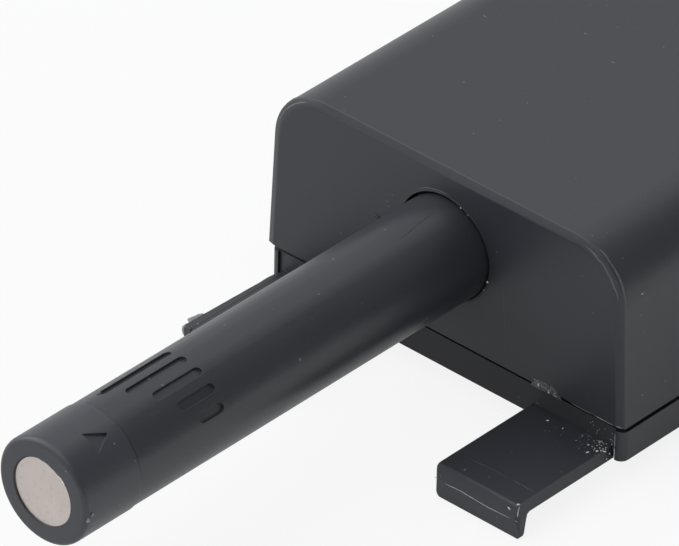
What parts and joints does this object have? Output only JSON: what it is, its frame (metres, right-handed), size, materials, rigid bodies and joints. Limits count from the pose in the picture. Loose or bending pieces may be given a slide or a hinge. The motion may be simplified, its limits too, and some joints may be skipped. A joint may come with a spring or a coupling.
{
  "type": "push to open catch",
  "caption": "Screw-on cabinet push catch: a long sprung plunger with a magnetic, adjustable tip slides out of a flat moulded housing with locating tabs.",
  "frame": {"origin": "middle of the screw holes, on the mounting face under the plate", "axes": "+X across the catch, +Y from its front to its back (the plunger points to -Y), +Z away from the panel it is screwed to"},
  "size_m": [0.0416, 0.1304, 0.0238],
  "materials": {
    "housing_plastic": "fine satin grain, anthracite",
    "plunger_plastic": "smooth satin, anthracite",
    "inner_plastic": "satin, dark",
    "slide_plastic": "natural acetal",
    "spring_steel": "drawn wire",
    "rubber": "dull",
    "nickel": "dull nickel plating, lightly scuffed"
  },
  "bodies": {
    "housing": {"cover": "housing_plastic", "mounting_plate": "housing_plastic", "barrel": "inner_plastic", "front_guide": "slide_plastic", "buffer_ring": "rubber", "cam_plate": "slide_plastic", "end_cap": "inner_plastic", "guide_rod": "spring_steel", "main_spring": "spring_steel"},
    "plunger": {"plunger": "plunger_plastic", "follower_spring": "spring_steel"},
    "follower": {"follower_pin": "spring_steel"},
    "tip_carrier": {"magnet": "nickel"},
    "tip": {"tip_head": "plunger_plastic", "friction_ring": "rubber"}
  },
  "joints": [
    {"name": "plunger_slide", "type": "slide", "parent": "housing", "child": "plunger", "axis": [0, 1, 0], "range_m": [0, 0.038], "stiffness_N_per_m": 60, "springref_m": -0.02, "deforming": ["main_spring"]},
    {"name": "follower_swing", "type": "hinge", "parent": "plunger", "child": "follower", "pos_m": [0, -0.0349, 0.0076], "axis": [0, 0, -1], "range_deg": [0, 18.18]},
    {"name": "tip_advance", "type": "slide", "parent": "plunger", "child": "tip_carrier", "axis": [0, -1, 0], "range_m": [0, 0.005]},
    {"name": "tip_turn", "type": "hinge", "parent": "tip_carrier", "child": "tip", "pos_m": [0, -0.09, 0.0131], "axis": [0, -1, 0], "range_deg": [0, 720.1]}
  ],
  "couplings": [
    {"joint": "tip_turn", "follows": "tip_advance", "rad_per_m": 2513.3}
  ]
}
